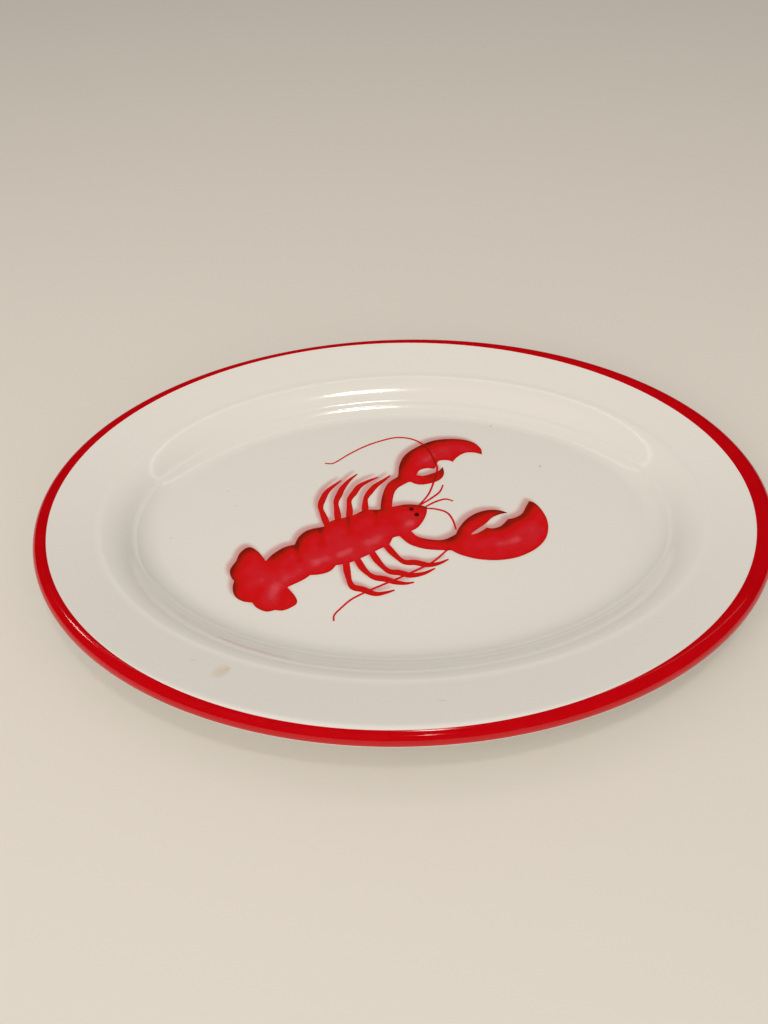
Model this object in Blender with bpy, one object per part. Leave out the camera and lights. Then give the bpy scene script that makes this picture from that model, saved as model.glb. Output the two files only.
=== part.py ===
"""Oval serving platter, compression-moulded in melamine as one closed shell.

The frame is in metres: +X along the length, +Y across the width, +Z up, with the origin
at the centre of the foot ring's bearing plane. Every ring of the shell is an oval that is
set in from the outer edge, so the whole form is one cross-section carried round the rim.
"""
import math

import bmesh
import bpy
from mathutils import Matrix, Vector

MM = 0.001

LENGTH = 408.4 * MM
WIDTH = 307.6 * MM
WALL = 3.0 * MM               # thickness of floor, wall and rim
SIDES = 80                    # facets round the oval

# The rim, from the outer edge inwards
BAND = 7.6 * MM               # plan width of the rolled lip, which is the coloured band
BAND_HEIGHT = 30.3 * MM       # height of the band's inner edge
SHOULDER_INSET = 41.1 * MM    # where the lines of the rim and the well's wall would meet
SHOULDER_HEIGHT = 20.0 * MM
SHOULDER_RADIUS = 34.0 * MM
LIP_BOTTOM = 22.8 * MM        # lowest point of the turned-down lip
EDGE_RADIUS = 1.3 * MM        # rounding of the lip's free edge

# The well
FLOOR_INSET = 56.7 * MM       # where the lines of the wall and the floor would meet
FLOOR_HEIGHT = 6.0 * MM
FLOOR_RADIUS = 19.0 * MM
UNDER_FLOOR_RADIUS = 13.0 * MM

# The foot ring
FOOT_INSET = 62.9 * MM        # outer face of the ring
FOOT_WIDTH = 4.4 * MM
FOOT_RADIUS = 0.9 * MM

WHITE = (0.72, 0.66, 0.58, 1.0)
RED = (0.50, 0.002, 0.006, 1.0)
GLOSS_ROUGHNESS = 0.12


def rounded(corners):
    """Points of a line that is filleted at its corners.

    Each corner is (point, radius, steps). An arc starts radius * tan(turn / 2) before its
    corner, and its points are that start turned in equal steps about the arc's centre,
    which lies square to the line, one radius to the side it turns to.
    """
    points = [corners[0][0]]
    for before, corner, after in zip(corners, corners[1:], corners[2:]):
        point, radius, steps = corner
        inward = (point - before[0]).normalized()
        outward = (after[0] - point).normalized()
        clockwise = inward.angle_signed(outward)
        to_centre = Vector((inward.y, -inward.x)) * math.copysign(radius, clockwise)
        start = point - inward * radius * math.tan(abs(clockwise) / 2)
        for step in range(steps + 1):
            turned = Matrix.Rotation(-clockwise * step / steps, 2) @ -to_centre
            points.append(start + to_centre + turned)
    points.append(corners[-1][0])
    return points


def parallel_corner(before, corner, after, distance):
    """The corner where the two lines through a corner meet once both are moved sideways."""
    first = (corner - before).normalized()
    second = (after - corner).normalized()
    turn = first.angle_signed(second)
    normal = Vector((first.y, -first.x))
    return corner + normal * distance - first * distance * math.tan(turn / 2)


def cross_section():
    """Half section as (inset, height) points, and the numbers of the lip's coloured rings.

    It runs from the middle of the floor's upper face out to the lip, round the free edge,
    and back under the rim and over the foot ring to the middle of the underside.
    """
    middle = LENGTH / 2
    floor = Vector((FLOOR_INSET, FLOOR_HEIGHT))
    shoulder = Vector((SHOULDER_INSET, SHOULDER_HEIGHT))
    band = Vector((BAND, BAND_HEIGHT))
    slope = (band.y - shoulder.y) / (shoulder.x - band.x)
    brow = Vector((0.0, band.y + BAND * slope))
    roll_turn = math.pi / 2 + math.atan(slope)
    roll_radius = (band - brow).length / math.tan(roll_turn / 2)
    roll_steps = 8
    edge_out = Vector((0.0, LIP_BOTTOM))
    edge_in = Vector((WALL, LIP_BOTTOM))
    centre_top = Vector((middle, FLOOR_HEIGHT))

    under_floor = parallel_corner(centre_top, floor, shoulder, -WALL)
    under_shoulder = parallel_corner(floor, shoulder, brow, -WALL)
    under_brow = parallel_corner(shoulder, brow, edge_out, -WALL)
    underside = FLOOR_HEIGHT - WALL
    foot_in = FOOT_INSET + FOOT_WIDTH

    section = rounded([
        (centre_top, 0, 0),
        (floor, FLOOR_RADIUS, 5),
        (shoulder, SHOULDER_RADIUS, 4),
        (brow, roll_radius, roll_steps),
        (edge_out, EDGE_RADIUS, 2),
        (edge_in, EDGE_RADIUS, 2),
        (under_brow, roll_radius - WALL, 4),
        (under_shoulder, SHOULDER_RADIUS - WALL, 3),
        (under_floor, UNDER_FLOOR_RADIUS, 3),
        (Vector((FOOT_INSET, underside)), FOOT_RADIUS, 2),
        (Vector((FOOT_INSET, 0.0)), FOOT_RADIUS, 2),
        (Vector((foot_in, 0.0)), FOOT_RADIUS, 2),
        (Vector((foot_in, underside)), FOOT_RADIUS, 2),
        (Vector((middle, underside)), 0, 0),
    ])
    band_start = section.index(min(section, key=lambda p: (p - band).length))
    coloured = range(band_start, band_start + roll_steps - 1)
    return section, coloured


def ring_points(inset, height):
    """One oval of the shell, as SIDES points in order of their angle."""
    half_length = LENGTH / 2 - inset
    half_width = WIDTH / 2 - inset
    angles = [2 * math.pi * side / SIDES for side in range(SIDES)]
    return [(half_length * math.cos(a), half_width * math.sin(a), height) for a in angles]


def principled(name, colour):
    """Plain glossy moulded plastic in one colour."""
    material = bpy.data.materials.new(name)
    material.use_nodes = True
    shader = material.node_tree.nodes["Principled BSDF"]
    shader.inputs["Base Color"].default_value = colour
    shader.inputs["Roughness"].default_value = GLOSS_ROUGHNESS
    shader.inputs["Metallic"].default_value = 0.0
    return material


def build_platter():
    """Carries the cross-section round the oval and closes both faces at their middle."""
    section, coloured = cross_section()
    body = bmesh.new()
    rings = [[body.verts.new(p) for p in ring_points(*point)] for point in section[1:-1]]
    for number, (inner, outer) in enumerate(zip(rings, rings[1:]), start=1):
        for side in range(SIDES):
            after = (side + 1) % SIDES
            face = body.faces.new((inner[side], outer[side], outer[after], inner[after]))
            face.material_index = 1 if number in coloured else 0
    for ring, point in ((rings[0], section[0]), (rings[-1], section[-1])):
        centre = body.verts.new((0.0, 0.0, point.y))
        for side in range(SIDES):
            body.faces.new((centre, ring[side], ring[(side + 1) % SIDES]))
    bmesh.ops.recalc_face_normals(body, faces=body.faces)

    mesh = bpy.data.meshes.new("platter")
    body.to_mesh(mesh)
    body.free()
    mesh.materials.append(principled("white_melamine", WHITE))
    mesh.materials.append(principled("red_band", RED))
    mesh.shade_smooth()
    mesh.set_sharp_from_angle(angle=math.radians(40))
    platter = bpy.data.objects.new("platter", mesh)
    bpy.context.scene.collection.objects.link(platter)
    return platter


for leftover in list(bpy.data.objects):
    bpy.data.objects.remove(leftover)
build_platter()
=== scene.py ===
"""Oval serving platter in white melamine, with a red lip and a lobster printed in its well."""
import math

import bpy
import numpy as np
from mathutils import Matrix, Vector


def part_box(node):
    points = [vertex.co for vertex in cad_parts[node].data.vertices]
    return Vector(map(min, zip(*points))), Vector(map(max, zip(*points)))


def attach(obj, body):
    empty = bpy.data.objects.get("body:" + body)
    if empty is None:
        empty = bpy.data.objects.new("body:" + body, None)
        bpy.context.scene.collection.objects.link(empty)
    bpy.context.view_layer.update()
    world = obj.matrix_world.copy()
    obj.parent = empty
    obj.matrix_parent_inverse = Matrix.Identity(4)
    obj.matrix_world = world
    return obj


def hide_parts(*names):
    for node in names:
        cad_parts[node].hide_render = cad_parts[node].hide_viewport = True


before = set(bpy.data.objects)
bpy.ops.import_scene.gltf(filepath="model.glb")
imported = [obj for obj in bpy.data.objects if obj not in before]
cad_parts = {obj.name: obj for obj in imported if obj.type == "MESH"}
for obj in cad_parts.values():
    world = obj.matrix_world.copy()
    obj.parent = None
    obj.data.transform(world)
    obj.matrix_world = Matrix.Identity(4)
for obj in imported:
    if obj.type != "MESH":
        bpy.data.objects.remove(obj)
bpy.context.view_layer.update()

MM = 0.001


# The shell is one compression moulding of white melamine: a flat oval floor, a wall, a wide
# sloping rim and a rolled lip, 3 mm thick all over, standing on a foot ring. Its surface is
# as glossy as the polished steel mould.
HALF_LENGTH, HALF_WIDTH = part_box("platter")[1][:2]
WALL = 3 * MM
BAND = 7.6 * MM                  # plan width of the rolled lip
BAND_HEIGHT = 30.3 * MM          # height at the inner edge of the lip
SHOULDER = (41.1 * MM, 20 * MM, 34 * MM)     # inset, height and radius between rim and wall
FLOOR = (56.7 * MM, 6 * MM, 19 * MM)         # the same between wall and floor
LIP_BOTTOM = 22.8 * MM           # height of the lip's free edge
EDGE_RADIUS = 1.3 * MM
UNDER_FLOOR_RADIUS = 13 * MM
FOOT_INSET = 62.9 * MM
FOOT_WIDTH = 4.4 * MM
FOOT_RADIUS = 0.9 * MM
FLAT_INSET = 70 * MM             # from here to the middle both faces are flat
SIDES = 320
RUN_SPACING = 3.5 * MM           # longest step along a straight run of the section
ARC_TURN = math.radians(3)       # largest step round an arc, unless the arc is tiny
ARC_SPACING = 0.35 * MM

MELAMINE_WHITE = "#EBE9E3"
MELAMINE_IOR = 1.58
MOULD_GLOSS = 0.09
GLOSS_PATCH = 22 * MM            # size of the patches that differ in gloss
WAVE = 9 * MM                    # length and depth of the moulding's waves
WAVE_DEPTH = 0.012 * MM
GLOSS_CHANGE = 0.05              # roughness between the glossiest patches and the dullest
SCRATCH = (26 * MM, 0.4 * MM, 10 * MM)       # size of their noise: along, across and up
SCRATCH_TURN = math.radians(24)
SCRATCH_NOISE = (0.70, 0.80)     # the noise's values where a scratch starts and is full
SCRATCH_ROUGHNESS = 0.10


def filleted(corners):
    """The line through (inset, height, radius) corners, each one rounded to its radius.

    An arc begins radius * tan(turn / 2) before its corner, and its points are its centre
    plus that first spoke turned by equal angles. Straight runs are cut into equal steps.
    """
    line = []
    at = np.array(corners[0][:2])
    for before, corner, after in zip(corners, corners[1:], corners[2:]):
        point = np.array(corner[:2])
        into = (point - before[:2]) / np.linalg.norm(point - before[:2])
        out = (after[:2] - point) / np.linalg.norm(after[:2] - point)
        turn = math.atan2(into[0] * out[1] - into[1] * out[0], into @ out)
        radius = corner[2]
        spoke = math.copysign(radius, turn) * np.array([into[1], -into[0]])
        start = point - into * radius * math.tan(abs(turn) / 2)
        steps = math.ceil(abs(turn) / max(ARC_TURN, ARC_SPACING / radius))
        turned = np.linspace(0, turn, steps + 1)[:, None]
        arc = start - spoke + spoke * np.cos(turned) + spoke[::-1] * (-1, 1) * np.sin(turned)
        runs = math.ceil(np.linalg.norm(start - at) / RUN_SPACING)
        line.append(at + (start - at) * np.arange(runs)[:, None] / max(runs, 1))
        line.append(arc)
        at = arc[-1]
    end = np.array(corners[-1][:2])
    runs = math.ceil(np.linalg.norm(end - at) / RUN_SPACING)
    line.append(at + (end - at) * np.arange(1, runs + 1)[:, None] / runs)
    return np.concatenate(line)


def parallel_corner(before, corner, after, radius):
    """The corner where the two lines through a corner meet once both lie a wall further in."""
    first = np.subtract(corner[:2], before[:2])
    second = np.subtract(after[:2], corner[:2])
    first = first / np.linalg.norm(first)
    second = second / np.linalg.norm(second)
    half_turn = math.atan2(first[0] * second[1] - first[1] * second[0], first @ second) / 2
    sideways = np.array([-first[1], first[0]]) - first * math.tan(half_turn)
    return (*(corner[:2] + WALL * sideways), radius)


def platter_section():
    """The closed half section, from the middle of the upper face to that of the underside."""
    slope = (BAND_HEIGHT - SHOULDER[1]) / (SHOULDER[0] - BAND)
    brow_height = BAND_HEIGHT + BAND * slope
    roll_turn = math.pi / 2 + math.atan(slope)
    roll = math.hypot(BAND, BAND * slope) / math.tan(roll_turn / 2)
    centre = (HALF_LENGTH, FLOOR[1], 0)
    brow = (0.0, brow_height, roll)
    edge_out = (0.0, LIP_BOTTOM, EDGE_RADIUS)
    edge_in = (WALL, LIP_BOTTOM, EDGE_RADIUS)
    underside = FLOOR[1] - WALL
    foot_in = FOOT_INSET + FOOT_WIDTH
    return filleted([
        centre,
        FLOOR,
        SHOULDER,
        brow,
        edge_out,
        edge_in,
        parallel_corner(SHOULDER, brow, edge_out, roll - WALL),
        parallel_corner(FLOOR, SHOULDER, brow, SHOULDER[2] - WALL),
        parallel_corner(centre, FLOOR, SHOULDER, UNDER_FLOOR_RADIUS),
        (FOOT_INSET, underside, FOOT_RADIUS),
        (FOOT_INSET, 0.0, FOOT_RADIUS),
        (foot_in, 0.0, FOOT_RADIUS),
        (foot_in, underside, FOOT_RADIUS),
        (HALF_LENGTH, underside, 0),
    ])


TURN = np.linspace(0, 2 * np.pi, SIDES, endpoint=False)


def carried_round(section):
    """Every section point carried round an oval that lies inset from the outer edge.

    x = (half length - inset) cos t and y = (half width - inset) sin t. Past FLAT_INSET the
    ovals keep their shape and shrink evenly to the middle. Inset and height are one number
    a point, or one for every direction t.
    """
    inset, height = section[..., 0], section[..., 1]
    curved = np.minimum(inset, FLAT_INSET)
    shrink = (HALF_LENGTH - inset) / (HALF_LENGTH - curved)
    x = (HALF_LENGTH - inset) * np.cos(TURN)
    y = (HALF_WIDTH - curved) * shrink * np.sin(TURN)
    return np.stack([x, y, np.broadcast_to(height, x.shape)], axis=-1)


def grid_faces(rows, columns, rows_close=False, columns_close=False):
    """Four-sided faces of a grid whose points are numbered row by row."""
    row = np.arange(rows if rows_close else rows - 1)[:, None]
    column = np.arange(columns if columns_close else columns - 1)
    here = row * columns + column
    right = row * columns + (column + 1) % columns
    below = (row + 1) % rows * columns + column
    below_right = (row + 1) % rows * columns + (column + 1) % columns
    return np.stack([here, below, below_right, right], axis=-1).reshape(-1, 4)


def make_piece(name, points, faces, material, values=None):
    """A piece from point and face arrays, with one number a point where values are given."""
    mesh = bpy.data.meshes.new(name)
    mesh.from_pydata(points.reshape(-1, 3).tolist(), [], faces)
    mesh.materials.append(material)
    if values is not None:
        attribute = mesh.attributes.new("tone", "FLOAT", "POINT")
        attribute.data.foreach_set("value", values.ravel().astype(np.float32))
    piece = bpy.data.objects.new(name, mesh)
    bpy.context.scene.collection.objects.link(piece)
    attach(piece, "root")
    return piece


def linear(colour):
    """Linear red, green, blue and alpha of an sRGB hex colour."""
    channels = [int(colour[place:place + 2], 16) / 255 for place in (1, 3, 5)]
    return [c / 12.92 if c <= 0.04045 else ((c + 0.055) / 1.055) ** 2.4 for c in channels] + [1.0]


def add_node(tree, kind, settings=None, links=None):
    """Adds a node, sets its properties and input values by name, and links outputs to it."""
    node = tree.nodes.new(kind)
    for name, value in (settings or {}).items():
        if isinstance(name, str) and hasattr(node, name):
            setattr(node, name, value)
        else:
            node.inputs[name].default_value = value
    for name, output in (links or {}).items():
        tree.links.new(output, node.inputs[name])
    return node


# Marks on the upper face: a pale brown stain on the rim, as food leaves, with a deeper spot
# in it, and a few dark specks. Each is an ellipse: x, y, half length and half width in mm,
# turn in degrees, and strength.
STAINS = [(-85.6, -113.2, 4.0, 2.9, 48, 0.38), (-83.2, -111.6, 1.5, 0.9, 30, 0.34)]
SPECKS = [
    (87.7, 41.4, 0.9, 0.7, 0, 0.42),
    (61.8, 82.0, 0.8, 0.6, 0, 0.35),
    (-104.5, 27.4, 0.5, 0.5, 0, 0.30),
    (-98.3, 14.0, 0.5, 0.5, 0, 0.25),
    (-133.0, -10.6, 0.5, 0.5, 0, 0.25),
    (-100.9, -107.5, 1.4, 0.5, 20, 0.14),
    (14.4, -133.1, 1.8, 0.6, 170, 0.14),
]
STAIN_BROWN = "#D9C295"
SPECK_GREY = "#8C8274"
STAIN_EDGE = 0.6                 # share of a mark's size that its soft edge takes
SPECK_EDGE = 0.5
RAGGED = 2.2 * MM                # size of the wander in the stain's edge
RAGGED_REACH = 2.4 * MM
OUT_OF_REACH = 5.0               # metres: where the marks' pattern is read on the underside


def mark_mask(tree, place, mark, softness):
    """1 inside an ellipse seen from above, falling to 0 over a soft edge, times its strength."""
    x, y, length, width, turn, strength = mark
    local = add_node(tree, "ShaderNodeMapping", {
        "vector_type": "TEXTURE",
        "Location": (x * MM, y * MM, 0),
        "Rotation": (0, 0, math.radians(turn)),
        "Scale": (length * MM, width * MM, 1),
    }, {"Vector": place})
    distance = add_node(tree, "ShaderNodeVectorMath", {"operation": "LENGTH"}, {0: local.outputs[0]})
    return add_node(tree, "ShaderNodeMapRange", {
        "interpolation_type": "SMOOTHSTEP",
        "From Min": 1 + softness,
        "From Max": 1 - softness,
        "To Max": strength,
    }, {"Value": distance.outputs["Value"]}).outputs[0]


def moulded_melamine(name):
    """Melamine resin pressed in a polished mould: hard, bright white and very glossy.

    The gloss wavers a little, the face has the faint long waves of a moulding, and fine
    scratches from cutlery lie in it. The drawn waves are 9 mm long and the scratches 0.4 mm
    wide, which is coarser than the real ones so that they show.
    """
    material = bpy.data.materials.new(name)
    material.use_nodes = True
    tree = material.node_tree
    shader = tree.nodes["Principled BSDF"]
    shader.inputs["IOR"].default_value = MELAMINE_IOR
    place = add_node(tree, "ShaderNodeTexCoord").outputs["Object"]
    coordinates = add_node(tree, "ShaderNodeSeparateXYZ", None, {0: place})
    facing = add_node(tree, "ShaderNodeTexCoord").outputs["Normal"]
    upward = add_node(tree, "ShaderNodeSeparateXYZ", None, {0: facing}).outputs["Z"]
    under = add_node(tree, "ShaderNodeMath", {"operation": "LESS_THAN", 1: 0.0}, {0: upward})
    away = add_node(tree, "ShaderNodeMath", {
        "operation": "MULTIPLY",
        1: OUT_OF_REACH,
    }, {0: under.outputs[0]})
    flat_place = add_node(tree, "ShaderNodeCombineXYZ", None, {
        "X": coordinates.outputs["X"],
        "Y": coordinates.outputs["Y"],
        "Z": away.outputs[0],
    }).outputs[0]

    colour = tree.nodes.new("ShaderNodeRGB")
    colour.outputs[0].default_value = linear(MELAMINE_WHITE)
    white = colour.outputs[0]
    ragged = add_node(tree, "ShaderNodeTexNoise", {"Scale": 1 / RAGGED, "Detail": 3.0}, {"Vector": place})
    shifted = add_node(tree, "ShaderNodeVectorMath", {
        "operation": "MULTIPLY_ADD",
        1: (RAGGED_REACH, RAGGED_REACH, 0),
    }, {0: ragged.outputs["Color"], 2: flat_place}).outputs[0]
    stained = white
    for stain in STAINS:
        stained = add_node(tree, "ShaderNodeMix", {
            "data_type": "RGBA",
            7: linear(STAIN_BROWN),
        }, {0: mark_mask(tree, shifted, stain, STAIN_EDGE), 6: stained}).outputs[2]
    for speck in SPECKS:
        stained = add_node(tree, "ShaderNodeMix", {
            "data_type": "RGBA",
            7: linear(SPECK_GREY),
        }, {0: mark_mask(tree, flat_place, speck, SPECK_EDGE), 6: stained}).outputs[2]
    tree.links.new(stained, shader.inputs["Base Color"])

    waver = add_node(tree, "ShaderNodeTexNoise", {
        "Scale": 1 / GLOSS_PATCH,
        "Detail": 2.0,
    }, {"Vector": place})
    lengthwise = add_node(tree, "ShaderNodeMapping", {
        "vector_type": "TEXTURE",
        "Rotation": (0, 0, SCRATCH_TURN),
        "Scale": SCRATCH,
    }, {"Vector": place})
    scratches = add_node(tree, "ShaderNodeTexNoise", {
        "Scale": 1.0,
        "Detail": 0.0,
    }, {"Vector": lengthwise.outputs[0]})
    scratched = add_node(tree, "ShaderNodeMapRange", {
        "From Min": SCRATCH_NOISE[0],
        "From Max": SCRATCH_NOISE[1],
        "To Max": SCRATCH_ROUGHNESS,
    }, {"Value": scratches.outputs[0]})
    gloss = add_node(tree, "ShaderNodeMath", {
        "operation": "MULTIPLY_ADD",
        1: GLOSS_CHANGE,
        2: MOULD_GLOSS - GLOSS_CHANGE / 2,
    }, {0: waver.outputs[0]})
    roughness = add_node(tree, "ShaderNodeMath", {"operation": "ADD"}, {
        0: gloss.outputs[0],
        1: scratched.outputs[0],
    })
    tree.links.new(roughness.outputs[0], shader.inputs["Roughness"])

    waves = add_node(tree, "ShaderNodeTexNoise", {"Scale": 1 / WAVE, "Detail": 1.0}, {"Vector": place})
    bump = add_node(tree, "ShaderNodeBump", {
        "Strength": 1.0,
        "Distance": WAVE_DEPTH,
    }, {"Height": waves.outputs[0]})
    tree.links.new(bump.outputs[0], shader.inputs["Normal"])
    return material, stained


section = platter_section()
rings = carried_round(section[1:-1, None])
ring_count = len(rings)
top_centre = ring_count * SIDES
under_centre = top_centre + 1
centres = np.array([[0, 0, section[0][1]], [0, 0, section[-1][1]]])
shell_points = np.concatenate([rings.reshape(-1, 3), centres])
side = np.arange(SIDES)
next_side = (side + 1) % SIDES
top_fan = np.stack([np.full(SIDES, top_centre), side, next_side], axis=-1)
last_ring = (ring_count - 1) * SIDES
under_fan = np.stack([np.full(SIDES, under_centre), last_ring + next_side, last_ring + side], axis=-1)
shell_faces = grid_faces(ring_count, SIDES, columns_close=True).tolist()
shell_faces += top_fan.tolist() + under_fan.tolist()
melamine = moulded_melamine("moulded_white_melamine")[0]
shell = make_piece("platter_shell", shell_points, shell_faces, melamine)
shell.data.shade_smooth()
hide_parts("platter")


# The lip carries a coat of red melamine glaze, printed on a foil that is pressed in with the
# moulding. It starts in a clean line on the rim, which isn't quite true to the edge, and ends
# just above the lip's white edge.
COAT_END = 24.3 * MM             # height where the colour ends
COAT = 0.05 * MM                 # how far the coat stands out of the shell, and into it
GLAZE_IOR = 1.44
DEEP_RED = "#B3020B"
BRIGHT_RED = "#C5040F"
RED_GLOSS_CHANGE = 0.06
COAT_ROWS = 48
SAME_POINT = 0.001 * MM          # points of the lip's line closer than this count as one
RED_CLOUD = 14 * MM              # size of the patches that differ in red
COAT_AT_ENDS = 10.1 * MM         # how far in the colour reaches at the platter's ends
COAT_AT_SIDES = 6.1 * MM
COAT_SHIFT = (1.4 * MM, 1.6 * MM)            # the colour's inner oval lies this much off centre
COAT_SKEW = 0.2 * MM             # and is turned a little against the edge


def printed_red(name):
    """Red printing ink under a clear melamine glaze, as glossy as the white, slightly uneven."""
    material = bpy.data.materials.new(name)
    material.use_nodes = True
    tree = material.node_tree
    shader = tree.nodes["Principled BSDF"]
    shader.inputs["IOR"].default_value = GLAZE_IOR
    place = add_node(tree, "ShaderNodeTexCoord").outputs["Object"]
    cloud = add_node(tree, "ShaderNodeTexNoise", {"Scale": 1 / RED_CLOUD, "Detail": 3.0}, {"Vector": place})
    ink = add_node(tree, "ShaderNodeMix", {
        "data_type": "RGBA",
        6: linear(DEEP_RED),
        7: linear(BRIGHT_RED),
    }, {0: cloud.outputs[0]})
    tree.links.new(ink.outputs[2], shader.inputs["Base Color"])
    gloss = add_node(tree, "ShaderNodeMath", {
        "operation": "MULTIPLY_ADD",
        1: RED_GLOSS_CHANGE,
        2: MOULD_GLOSS - RED_GLOSS_CHANGE / 2,
    }, {0: cloud.outputs[0]})
    tree.links.new(gloss.outputs[0], shader.inputs["Roughness"])
    waves = add_node(tree, "ShaderNodeTexNoise", {"Scale": 1 / WAVE, "Detail": 1.0}, {"Vector": place})
    bump = add_node(tree, "ShaderNodeBump", {
        "Strength": 1.0,
        "Distance": WAVE_DEPTH,
    }, {"Height": waves.outputs[0]})
    tree.links.new(bump.outputs[0], shader.inputs["Normal"])
    return material


def lip_coat():
    """The coat's closed section in every direction t: the lip's line, moved out and then in.

    The colour reaches in by ends cos^2 t + sides sin^2 t + shift . (cos t, sin t) +
    skew sin 2t. Its rows share the line's length from there to the coat's end equally.
    """
    reach = COAT_AT_ENDS * np.cos(TURN) ** 2 + COAT_AT_SIDES * np.sin(TURN) ** 2
    reach += COAT_SHIFT[0] * np.cos(TURN) + COAT_SHIFT[1] * np.sin(TURN) + COAT_SKEW * np.sin(2 * TURN)
    outermost = np.argmax((section[:, 0] < EDGE_RADIUS) & (section[:, 1] < LIP_BOTTOM + EDGE_RADIUS))
    line = section[:outermost]
    line = line[np.append(True, np.linalg.norm(np.diff(line, axis=0), axis=1) > SAME_POINT)]
    length = np.concatenate([[0], np.cumsum(np.linalg.norm(np.diff(line, axis=0), axis=1))])
    begin = np.interp(-reach, -line[:, 0], length)
    finish = np.interp(-COAT_END, -line[line[:, 0] < BAND / 2, 1], length[line[:, 0] < BAND / 2])
    rows = begin + (finish - begin) * np.linspace(0, 1, COAT_ROWS)[:, None]
    along = np.gradient(line, length, axis=0)
    square = np.column_stack([along[:, 1], -along[:, 0]])
    outward = np.stack([np.interp(rows, length, square[:, k]) for k in (0, 1)], axis=-1)
    face = np.stack([np.interp(rows, length, line[:, k]) for k in (0, 1)], axis=-1)
    return np.concatenate([face + outward * COAT, (face - outward * COAT)[::-1]])


coat = lip_coat()
coat_points = carried_round(coat)
coat_faces = grid_faces(len(coat), SIDES, rows_close=True, columns_close=True).tolist()
lip = make_piece("lip_colour", coat_points, coat_faces, printed_red("glazed_red_ink"))
lip.data.shade_smooth()
lip.data.set_sharp_from_angle(angle=math.radians(40))


# The lobster is a common seafood figure, printed in the well under the same glaze. A part is
# drawn between two edge lines, as a ribbon along a centre line or as a disc, in mm from the
# print's middle, and is a film of ink about a hundredth of a millimetre thick.
INK_FILM = 0.012 * MM
PART_STEP = 0.1                  # films between a part and the next one in its layer
PRINT_CELL = 0.5                 # mm between points across a printed part
CURVE_SAMPLES = 24               # places worked out on a curve for each given point
PRINT_MIDDLE = (-1.04, -0.51)    # mm: the print lies this much off the platter's centre


def smooth_line(points, count):
    """A curve through given points, in equal steps.

    Between two points it is a cubic, and its slope at a point is half the chord between that
    point's two neighbours. It is then read again at equal lengths.
    """
    given = np.array(points, dtype=float)
    ends = np.concatenate([[2 * given[0] - given[1]], given, [2 * given[-1] - given[-2]]])
    place = np.linspace(0, len(given) - 1, CURVE_SAMPLES * len(given))
    number = np.minimum(place.astype(int), len(given) - 2)
    share = (place - number)[:, None]
    a, b, c, d = (ends[number + k] for k in range(4))
    bends = (2 * a - 5 * b + 4 * c - d) * share ** 2 + (3 * b - a - 3 * c + d) * share ** 3
    curve = (2 * b + (c - a) * share + bends) / 2
    length = np.concatenate([[0], np.cumsum(np.linalg.norm(np.diff(curve, axis=0), axis=1))])
    wanted = np.linspace(0, length[-1], count)
    return np.stack([np.interp(wanted, length, curve[:, k]) for k in (0, 1)], axis=-1)


def between(left, right, cell=PRINT_CELL):
    """The area between two edge lines: straight rulings that join them at equal shares."""
    lengths = [np.linalg.norm(np.diff(np.array(line), axis=0), axis=1).sum() for line in (left, right)]
    rows = int(max(lengths) / cell) + 2
    left_line = smooth_line(left, rows)
    right_line = smooth_line(right, rows)
    widest = np.linalg.norm(left_line - right_line, axis=1).max()
    share = np.linspace(0, 1, int(widest / cell) + 2)[None, :, None]
    return left_line[:, None] * (1 - share) + right_line[:, None] * share


def ribbon(centre, widths, cell=PRINT_CELL):
    """A band along a centre line, with half its width to each side, square to the line."""
    length = np.linalg.norm(np.diff(np.array(centre), axis=0), axis=1).sum()
    rows = int(length / cell) + 2
    line = smooth_line(centre, rows)
    along = np.gradient(line, axis=0)
    along = along / np.linalg.norm(along, axis=1, keepdims=True)
    across = np.stack([-along[:, 1], along[:, 0]], axis=-1)
    width = np.interp(np.linspace(0, 1, rows), np.linspace(0, 1, len(widths)), widths)[:, None]
    columns = int(max(widths) / cell) + 2
    offset = np.linspace(0.5, -0.5, columns)[None, :, None]
    return line[:, None] + across[:, None] * width[:, None] * offset


TAIL = [between(
    [(-75.5, -30), (-70, -36), (-66, -43), (-62, -49)],
    [(-75.5, -30), (-80.5, -22.5), (-86, -19), (-90.5, -23), (-92, -29), (-92, -29), (-94.6, -35),
     (-93.8, -40), (-91.5, -43.5), (-91.5, -43.5), (-91.6, -49), (-89.5, -54.5), (-85, -57.8),
     (-80, -58.8), (-80, -58.8), (-77, -62.5), (-72, -65), (-67.3, -64.2), (-67.3, -64.2),
     (-63, -64.6), (-58.5, -62.5), (-56, -59.6), (-57.5, -55), (-62, -49)],
)]
BODY = [between(
    [(-75.5, -30), (-72, -25), (-66, -20), (-60, -18), (-60, -18), (-58, -12), (-53, -7),
     (-44, -4.6), (-44, -4.6), (-40, -0.4), (-33, 2), (-27, 4), (-20, 8), (-12, 8), (-4, 10),
     (4, 11.6), (11, 11), (16.6, 9.2)],
    [(-62, -49), (-54, -44.4), (-50, -41), (-50, -41), (-44, -40.5), (-39, -38.4), (-36, -34.4),
     (-36, -34.4), (-29, -33), (-20, -28.4), (-13, -24), (-6.5, -20), (-4, -15), (0, -13.6),
     (6, -10.4), (10.5, -7.4), (14, -2), (16.2, 4), (16.6, 9.2)],
)]
ARMS = [
    between([(-11, 0), (-11, 8), (-9.6, 20), (-6, 30.5), (1.5, 37)],
            [(-4, 0), (-4, 10), (-2.8, 20), (-0.5, 25.5), (3, 28.5), (8, 32)]),
    between([(1, -6), (6.3, -10), (10, -14.4), (17, -17), (25, -17.4), (33, -13)],
            [(-5, -10), (0, -14.2), (5, -20), (12, -23.6), (20, -25.2), (31, -26)]),
]
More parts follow.
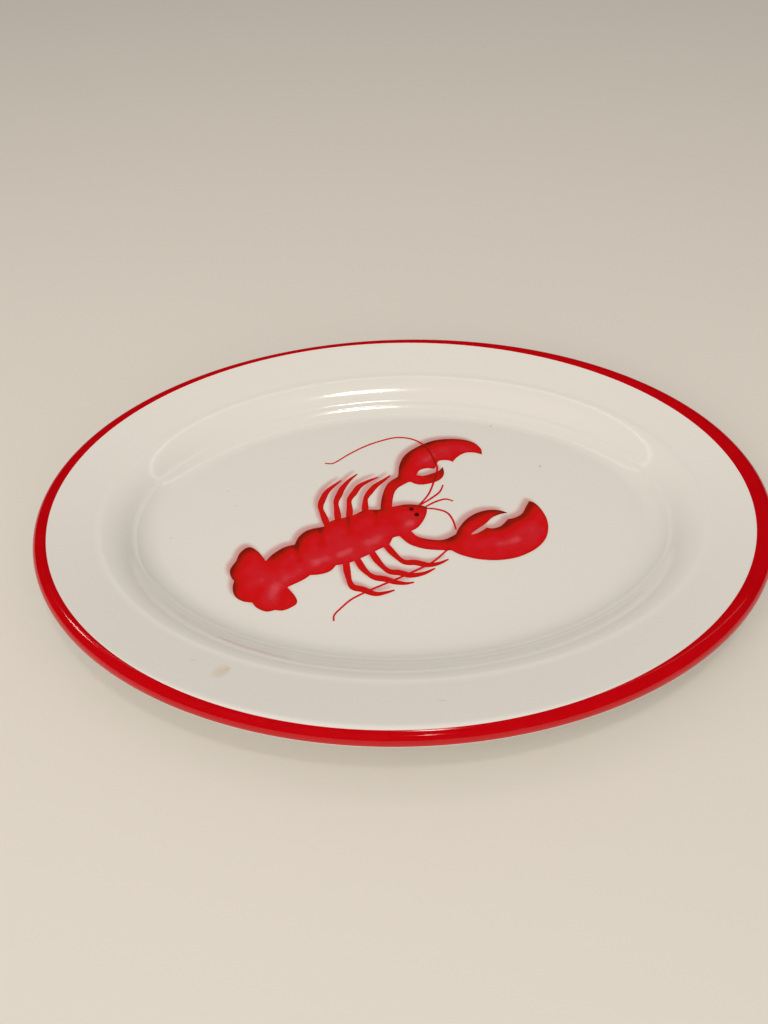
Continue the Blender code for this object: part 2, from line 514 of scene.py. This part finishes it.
CLAWS = [
    between([(-1, 34), (0.4, 37.5), (1.3, 46), (4, 54), (9, 60.2), (17, 66), (25, 69.6), (34, 70.6),
             (43, 69.5), (50, 66), (53.8, 60), (54, 54.5)],
            [(8, 31), (11, 34), (12, 38), (14, 41.4), (18.5, 43), (23, 42.6), (24.6, 46),
             (26.5, 49.6), (31.5, 50), (35, 48.4), (35, 48.4), (38.5, 53), (43.5, 56.4), (49, 56.5),
             (54, 54.5)]),
    between([(1, 36), (7, 38), (12, 37), (16, 36.2), (21, 38), (25.6, 40.3), (28.4, 43.8)],
            [(3, 29.6), (7.5, 31), (11, 29), (15.5, 28.4), (22, 30), (26.7, 33.2), (28.8, 38),
             (28.4, 43.8)]),
    between([(30, -16), (34, -14), (41.5, -14), (46, -12.2), (50, -9.2), (50, -9.2), (54, -9.8),
             (58.5, -8), (63, -3), (63, -3), (68, -1.4), (72, 1.5), (75, 7), (77.6, 11.6)],
            [(27, -24.5), (33, -29), (42, -32.6), (52, -34), (62, -33), (70, -30), (77, -25.4),
             (82.4, -19), (85.2, -11), (85.5, -3), (83.5, 4.5), (80.5, 9.8), (77.6, 11.6)]),
    between([(31, -16), (34, -9), (39, -2), (45, 2.6), (52, 5), (58.5, 4.7), (63.6, 2.4)],
            [(34, -22), (41.5, -13), (46, -9), (50, -5.8), (54, -1.4), (59, 1.3), (63.6, 2.4)]),
]
LEG_WIDTHS = [3.8, 4.1, 2.9, 4.1, 3.8, 2.5, 1.0]
LEGS = [ribbon(knees, LEG_WIDTHS) for knees in (
    [(-41.5, -5), (-44.4, 4), (-46.6, 12), (-45, 20), (-43, 25), (-39, 30), (-34.8, 34.3)],
    [(-35.6, -2), (-36.6, 8), (-37.4, 15.5), (-35.6, 22), (-34, 27), (-30, 34), (-25, 39.6)],
    [(-29.4, 0), (-29.2, 9), (-29.5, 17), (-26.6, 23), (-23.6, 28.6), (-18, 33), (-12, 36.2)],
    [(-20, 4), (-20, 11), (-19.6, 18), (-17, 23.5), (-13.8, 28.4), (-9, 33), (-4.5, 37.4)],
    [(-30.6, -31), (-29.6, -40), (-27, -49.4), (-21, -52), (-14.5, -55.2), (-9, -54.6), (-4, -53)],
    [(-24.6, -30), (-20.6, -38), (-15.4, -43.4), (-9, -45.2), (-3.4, -47.6), (2, -48.6), (6.6, -48)],
    [(-17, -24), (-12.4, -33), (-7, -39.6), (-1, -41), (5, -43), (12, -42), (18.6, -38.6)],
    [(-9, -19), (-4, -27), (1.6, -33.2), (8, -34), (15, -36), (21, -35), (26.4, -32.3)],
)]
FEELER_WIDTHS = [1.15, 1.3, 1.3, 1.2, 0.95]
FEELERS = [ribbon(line, FEELER_WIDTHS) for line in (
    [(12, 10.5), (18, 19.5), (21.8, 30), (24.8, 42), (23.5, 50), (20, 61), (15.6, 67.5), (9, 72),
     (0, 73.5), (-10, 70.6), (-20, 65.8), (-30, 58.8), (-37, 52.6), (-41, 50), (-45.5, 50.4)],
    [(16, 8), (22, 7), (28, 4), (31, -2), (32.4, -10)],
    [(27.5, -24), (18, -33.6), (10, -38.6), (0, -44), (-8, -48), (-18, -53), (-27, -58.4),
     (-33, -64.6), (-36, -68.6), (-36.2, -72.4)],
    [(13, 11), (20, 16.6), (25, 21.6), (27.5, 27.6)],
    [(16, 9.4), (22, 13.2), (28, 15.2), (32.6, 13.4)],
)]

# The airbrush: shadow lies along the upper left edge of every part, a thinner one along the
# lower right edge, and light in the middle. All parts share one drawing of these, so that
# no line shows where two parts meet.
CELL = 0.4                       # mm of the drawing's own raster
CORNER = np.array([-104.0, -82.0])
EXTENT = (500, 410)


def inked_area(parts):
    """1 where any part covers a cell of the raster. Each part is laid out again in fine steps."""
    area = np.zeros(EXTENT)
    for part in parts:
        finer = part
        for axis in (0, 1):
            ahead = np.take(finer, range(1, finer.shape[axis]), axis)
            behind = np.take(finer, range(finer.shape[axis] - 1), axis)
            finer = np.concatenate([finer, (ahead + behind) / 2], axis=axis)
        cell = ((finer.reshape(-1, 2) - CORNER) / CELL).astype(int)
        area[cell[:, 0], cell[:, 1]] = 1
    return area


def softened(area, spread, shift=(0, 0)):
    """The area blurred by a bell curve and moved, both in mm, by way of its frequencies."""
    along = np.fft.fftfreq(EXTENT[0], CELL)[:, None]
    across = np.fft.fftfreq(EXTENT[1], CELL)
    blur = np.exp(-2 * (np.pi * spread) ** 2 * (along ** 2 + across ** 2))
    move = np.exp(-2j * np.pi * (along * shift[0] + across * shift[1]))
    return np.fft.ifft2(np.fft.fft2(area) * blur * move).real


def read_at(raster, points):
    """The raster's value at points in mm, by linear interpolation."""
    place = (points - CORNER) / CELL - 0.5
    cell = np.clip(np.floor(place).astype(int), 0, np.array(EXTENT) - 2)
    share = place - cell
    i, j = cell[..., 0], cell[..., 1]
    u, v = share[..., 0], share[..., 1]
    near = raster[i, j] * (1 - u) + raster[i + 1, j] * u
    far = raster[i, j + 1] * (1 - u) + raster[i + 1, j + 1] * u
    return near * (1 - v) + far * v


# Strokes are (x, y, x, y, width, tone): a soft line that darkens or lightens, in mm.
STROKES = [
    (-14, 7, -12.6, -4, 1.6, -0.20), (-30, 4, -29, -10, 1.6, -0.26), (-46, -5, -44.6, -18, 1.6, -0.20),
    (-59.5, -18, -56.4, -30, 1.8, -0.28), (-62.5, -18, -61, -27, 2.4, 0.10), (-43, -4, -41, -14, 3, 0.05),
    (-78, -57, -76, -50, 2.2, -0.10), (-64, -60, -63, -52, 2.0, -0.14), (-90, -40, -80, -42, 3, -0.04),
    (5, -4.5, 6, -4, 2.6, 0.34), (-18, -18, -14, -16, 3.4, 0.26), (-34, -27, -29, -24, 2.6, 0.34),
    (-47, -32, -42, -29.5, 3.2, 0.26), (-63, -42.5, -57, -38.5, 3.0, 0.22), (-71, -56, -69, -50, 3.4, 0.22),
    (-28, -21, -14, -18, 7, 0.12), (-52, -31, -38, -26, 7, 0.12), (-78, -40, -68, -48, 8, 0.10),
    (6, 0, 8, 2, 7, 0.12), (19, 52, 30, 60, 5, 0.10), (14, 47, 22, 55, 2.6, 0.12), (28, 60, 34, 62, 3, 0.10),
    (56, -22, 66, -19.5, 2.8, 0.24), (66, -19, 76, -12, 5, 0.12), (38, -10, 44, -4.5, 2.4, 0.26),
    (-7, 12, -5, 24, 2, 0.14), (14, -20.6, 24, -21, 2, 0.16), (-4, -2, -6, 6, 4, -0.06),
    (46, -12, 62, -6, 2.6, -0.16), (66, -4, 76, 6, 2.6, -0.16), (30, -18, 34, -26, 2.4, -0.06),
    (8, 44, 4, 52, 3, -0.08),
]


LIGHT_SHARE = 0.55               # the glaze dulls the light strokes
UPPER_LEFT = (2.6, (2.8, -2.8))  # softness of each edge shadow and how far it is moved, in mm
LOWER_RIGHT = (1.0, (-0.7, 0.8))
OUTLINE = (0.7, (0, 0))
CROSSING_SOFTNESS = 0.4


def stroke_tone(points):
    """The sum of all strokes: tone * exp(-(distance to the stroke / width) squared)."""
    total = np.zeros(points.shape[:-1])
    for x0, y0, x1, y1, width, tone in STROKES:
        start = np.array([x0, y0])
        run = np.array([x1, y1]) - start
        share = np.clip((points - start) @ run / (run @ run), 0, 1)
        distance = np.linalg.norm(points - start - share[..., None] * run, axis=-1)
        total += (tone * LIGHT_SHARE if tone > 0 else tone) * np.exp(-(distance / width) ** 2)
    return total


solid_area = inked_area(TAIL + BODY + ARMS + CLAWS + LEGS)
upper_left = softened(solid_area, *UPPER_LEFT)
lower_right = softened(solid_area, *LOWER_RIGHT)
outline = softened(solid_area, *OUTLINE)
under_feelers = softened(inked_area(CLAWS + ARMS + BODY), CROSSING_SOFTNESS)


BODY_TONE = 0.73
UPPER_SHADE = 0.54               # how dark each of the three edge shadows is
LOWER_SHADE = 0.16
OUTLINE_SHADE = 0.20
DARKEST = 0.27


def airbrushed(points):
    """Tone from 0, nearly black, to 1, pink: the body's red, less the shadows, plus strokes."""
    shade = UPPER_SHADE * (1 - read_at(upper_left, points))
    shade += LOWER_SHADE * (1 - read_at(lower_right, points))
    shade += OUTLINE_SHADE * (1 - read_at(outline, points))
    return np.clip(BODY_TONE - shade + stroke_tone(points), DARKEST, 1)


INK_TONES = [(0.0, "#2C1006"), (0.14, "#5E120A"), (0.32, "#981C10"), (0.52, "#CA1A12"), (0.68, "#D6141A"),
             (0.82, "#D22630"), (1.0, "#DE5058")]
INK_GRAIN = 0.9 * MM
INK_CLOUD = 8 * MM
GRAIN_TONE = 0.08                # how far the grain and the clouds change the tone
CLOUD_TONE = 0.30


def airbrush_ink():
    """Red ink laid on with an airbrush, under the clear glaze.

    Its grain is drawn 0.9 mm wide, coarser than real, and the hand's passes leave it cloudy,
    in patches about 8 mm across.
    """
    material = printed_red("airbrushed_red_ink")
    tree = material.node_tree
    shader = tree.nodes["Principled BSDF"]
    tone = add_node(tree, "ShaderNodeAttribute", {"attribute_name": "tone"}).outputs["Fac"]
    place = add_node(tree, "ShaderNodeTexCoord").outputs["Object"]
    grain = add_node(tree, "ShaderNodeTexNoise", {"Scale": 1 / INK_GRAIN, "Detail": 2.0}, {"Vector": place})
    grained = add_node(tree, "ShaderNodeMath", {
        "operation": "MULTIPLY_ADD",
        1: GRAIN_TONE,
        2: -GRAIN_TONE / 2,
    }, {0: grain.outputs[0]})
    cloud = add_node(tree, "ShaderNodeTexNoise", {"Scale": 1 / INK_CLOUD, "Detail": 3.0}, {"Vector": place})
    clouded = add_node(tree, "ShaderNodeMath", {
        "operation": "MULTIPLY_ADD",
        1: CLOUD_TONE,
        2: -CLOUD_TONE / 2,
    }, {0: cloud.outputs[0]})
    uneven = add_node(tree, "ShaderNodeMath", {"operation": "ADD"}, {0: tone, 1: clouded.outputs[0]})
    total = add_node(tree, "ShaderNodeMath", {"operation": "ADD"}, {
        0: uneven.outputs[0],
        1: grained.outputs[0],
    })
    ramp = add_node(tree, "ShaderNodeValToRGB", None, {0: total.outputs[0]})
    stops = ramp.color_ramp.elements
    for position, colour in INK_TONES[1:-1]:
        stops.new(position)
    for stop, (position, colour) in zip(stops, INK_TONES):
        stop.position = position
        stop.color = linear(colour)
    tree.links.new(ramp.outputs[0], shader.inputs["Base Color"])
    return material


def printed_piece(name, parts, film, tones, material):
    """One printed layer: its parts, each a film of its own, a hair above the one before."""
    points = []
    faces = []
    count = 0
    for number, part in enumerate(parts):
        height = FLOOR[1] + (film + PART_STEP * number) * INK_FILM
        flat = (part.reshape(-1, 2) + PRINT_MIDDLE) * MM
        points.append(np.column_stack([flat, np.full(len(flat), height)]))
        faces.append(grid_faces(*part.shape[:2]) + count)
        count += len(flat)
    all_faces = np.concatenate(faces).tolist()
    piece = make_piece(name, np.concatenate(points), all_faces, material, tones)
    film_wall = piece.modifiers.new("film", "SOLIDIFY")
    film_wall.thickness = INK_FILM
    film_wall.offset = -1
    return piece


def tones_of(parts):
    """The airbrush tone at every point of the parts."""
    return np.concatenate([airbrushed(part.reshape(-1, 2)) for part in parts])


LEG_DARKEST = 0.55               # the thin legs hold no deep shadow

ink = airbrush_ink()
for name, parts, film in (("print_legs", LEGS, 3), ("print_arms", ARMS, 5), ("print_tail", TAIL, 6),
                          ("print_claws", CLAWS, 7), ("print_body", BODY, 9)):
    darkest = LEG_DARKEST if name == "print_legs" else 0.0
    printed_piece(name, parts, film, np.maximum(tones_of(parts), darkest), ink)

FEELER_TONE = 0.70
FEELER_OVER_INK = 0.34           # how much darker a feeler is where it crosses a part
CROSSING_GAIN = 1.4              # the soft area times this, less the next, is the share
CROSSING_START = 0.4
feeler_points = np.concatenate([part.reshape(-1, 2) for part in FEELERS])
crossing = np.clip(read_at(under_feelers, feeler_points) * CROSSING_GAIN - CROSSING_START, 0, 1)
feeler_tones = FEELER_TONE - FEELER_OVER_INK * crossing
printed_piece("print_feelers", FEELERS, 10, feeler_tones, ink)


DISC_POINTS = 33
DISC_RINGS = 6
DISC_MIDDLE = 0.02               # mm: radius of the innermost ring


def disc(x, y, radius):
    """A round spot as rings of points, from its edge to a tiny ring round its middle."""
    turn = np.linspace(0, 2 * np.pi, DISC_POINTS)
    reach = np.linspace(radius, DISC_MIDDLE, DISC_RINGS)
    return np.stack([x + reach[:, None] * np.cos(turn), y + reach[:, None] * np.sin(turn)], axis=-1)


EYE_RADIUS = 1.55
EYE_EDGE_TONE = 0.22
EYES = [disc(7.4, 7.7, EYE_RADIUS), disc(10.3, 2.9, EYE_RADIUS)]
eye_rings = np.linspace(EYE_EDGE_TONE, 0.0, DISC_RINGS)
eye_tones = np.tile(np.repeat(eye_rings, DISC_POINTS), len(EYES))
printed_piece("print_eyes", EYES, 12, eye_tones, ink)


# Overspray: the airbrush leaves a soft pink shadow on the white, up and to the left of every
# part. It is a thin film whose colour runs out to the shell's own white at its border.
OVERSPRAY_CELL = 0.8             # mm between the film's points
SPRAY_ALONG = (-100, 92)         # mm: the rectangle that the film is cut from
SPRAY_ACROSS = (-78, 80)
SPRAY_FILM = 1.2                 # the film's height over the floor, in films of ink
MIST_FLOOR = 0.02                # mist fainter than this is left out
OVERSPRAY_PINK = "#C43C46"
OVERSPRAY_STRENGTH = 0.62
HALO = (0.9, (-2.4, 2.9))        # softness and shift in mm of the shadow beside the parts
HALO_STRENGTH = 0.90
RIM_SOFTNESS = 1.2               # a weaker mist lies all round them
RIM_STRENGTH = 0.25
OVERSPRAY_REACH = 3.4            # mm: how soft the area is that decides where the film ends
OVERSPRAY_BORDER = 0.012         # the film ends where that soft area falls below this
mist = HALO_STRENGTH * softened(solid_area, *HALO) + RIM_STRENGTH * softened(solid_area, RIM_SOFTNESS)
columns = np.arange(*SPRAY_ALONG, OVERSPRAY_CELL)
rows = np.arange(*SPRAY_ACROSS, OVERSPRAY_CELL)
spray_points = np.stack(np.meshgrid(columns, rows, indexing="ij"), axis=-1)
spray_tone = np.clip(read_at(mist, spray_points) - MIST_FLOOR, 0, 1)
spray_faces = grid_faces(*spray_points.shape[:2])
near_print = read_at(softened(solid_area, OVERSPRAY_REACH), spray_points).ravel() > OVERSPRAY_BORDER
spray_faces = spray_faces[near_print[spray_faces].any(axis=1)]
used, renumbered = np.unique(spray_faces, return_inverse=True)
spray_flat = (spray_points.reshape(-1, 2)[used] + PRINT_MIDDLE) * MM
spray_height = np.full(len(used), FLOOR[1] + SPRAY_FILM * INK_FILM)
spray_material, spray_colour = moulded_melamine("oversprayed_melamine")
spray_tree = spray_material.node_tree
spray_mask = add_node(spray_tree, "ShaderNodeAttribute", {"attribute_name": "tone"}).outputs["Fac"]
spray_mix = add_node(spray_tree, "ShaderNodeMix", {
    "data_type": "RGBA",
    7: linear(OVERSPRAY_PINK),
}, {0: spray_mask, 6: spray_colour})
spray_tree.links.new(spray_mix.outputs[2], spray_tree.nodes["Principled BSDF"].inputs["Base Color"])
spray_tones = spray_tone.ravel()[used] * OVERSPRAY_STRENGTH
overspray = make_piece("print_overspray", np.column_stack([spray_flat, spray_height]),
                       renumbered.reshape(-1, 4).tolist(), spray_material, spray_tones)
spray_wall = overspray.modifiers.new("film", "SOLIDIFY")
spray_wall.thickness = INK_FILM
spray_wall.offset = -1


# The table: a plain pale sheet, large enough to fill the picture.
def plain_table():
    """A flat grid of four squares, 3 m to each side of the middle, where the foot ring stands."""
    reach = np.linspace(-3, 3, 3)
    x, y = np.meshgrid(reach, reach, indexing="ij")
    points = np.stack([x, y, np.zeros_like(x)], axis=-1)
    mesh = bpy.data.meshes.new("table")
    mesh.from_pydata(points.reshape(-1, 3).tolist(), [], grid_faces(3, 3).tolist())
    table = bpy.data.objects.new("table", mesh)
    bpy.context.scene.collection.objects.link(table)
    material = bpy.data.materials.new("matt_pale_paint")
    material.use_nodes = True
    shader = material.node_tree.nodes["Principled BSDF"]
    shader.inputs["Base Color"].default_value = linear("#E4E0D8")
    shader.inputs["Roughness"].default_value = 0.85
    shader.inputs["Specular IOR Level"].default_value = 0.2
    mesh.materials.append(material)
    return table


plain_table()


# The lights: a warm even room, a broad soft box in front on the left, a panel in front, and
# small lamps and a long strip above that give the glaze its streaks.
AMBIENT = 0.53
WARM = (1.0, 0.937, 0.868)


def area_lamp(name, place, aim, size, radiance, glossy=True, diffuse=True):
    """A flat lamp that faces its aim. Its power is radiance times four times its area."""
    light = bpy.data.lights.new(name, "AREA")
    light.shape = "RECTANGLE"
    light.size, light.size_y = size
    light.energy = radiance * 4 * size[0] * size[1]
    light.color = WARM
    lamp = bpy.data.objects.new(name, light)
    bpy.context.scene.collection.objects.link(lamp)
    back = np.subtract(place, aim)
    back = back / np.linalg.norm(back)
    flat = math.hypot(back[0], back[1])
    lamp.location = place
    lamp.rotation_euler = (math.atan2(flat, back[2]), 0, math.atan2(back[0], -back[1]))
    lamp.visible_camera = False
    lamp.visible_glossy = glossy
    lamp.visible_diffuse = diffuse
    return lamp


world = bpy.data.worlds.new("warm_room")
bpy.context.scene.world = world
world.use_nodes = True
background = world.node_tree.nodes["Background"]
background.inputs["Color"].default_value = (*WARM, 1.0)
background.inputs["Strength"].default_value = AMBIENT
world.cycles_visibility.glossy = False

area_lamp("soft_box", (-0.65, -1.2, 1.3), (0, 0, 0), (1.6, 1.2), 1.65, glossy=False)
area_lamp("front_panel", (0.1, -1.6, 0.45), (0, 0, 0), (1.8, 0.7), 0.7, glossy=False)
ROUND_LAMPS = [("key_lamp", (0.08, -0.29, 1.15), 0.12), ("lip_lamp", (0.094, -0.98, 0.89), 0.07)]
for name, place, diameter in ROUND_LAMPS:
    lamp = area_lamp(name, place, (0, 0, 0), (diameter, diameter), 20)
    lamp.data.shape = "DISK"
area_lamp("ceiling_strip", (0, 0.36, 1.0), (0, 0, 0), (2.2, 0.04), 1.6)
area_lamp("left_lamp", (-0.86, 0.2, 0.8), (0, 0, 0), (0.12, 0.12), 12, diffuse=False)

bpy.context.scene.view_settings.view_transform = "Standard"


# The camera stands in front of the platter and looks down on it at 45.5 degrees, held with a
# slight roll, as a phone is.
CAMERA_PLACE = (-0.00615, -0.31267, 0.32974)
CAMERA_RIGHT = (0.999544, -0.014943, -0.026256)
CAMERA_UP = (0.029060, 0.713142, 0.700417)
FOCAL = 769 / 1024               # focal length as a share of the picture's height
camera_data = bpy.data.cameras.new("camera")
camera_data.sensor_fit = "VERTICAL"
camera_data.sensor_height = 24
camera_data.lens = FOCAL * camera_data.sensor_height
camera = bpy.data.objects.new("camera", camera_data)
bpy.context.scene.collection.objects.link(camera)
right_axis = np.array(CAMERA_RIGHT)
up_axis = np.array(CAMERA_UP)
placed = np.eye(4)
placed[:3, 0] = right_axis
placed[:3, 1] = up_axis
placed[:3, 2] = np.cross(right_axis, up_axis)
placed[:3, 3] = CAMERA_PLACE
camera.matrix_world = Matrix(placed.tolist())
bpy.context.scene.camera = camera
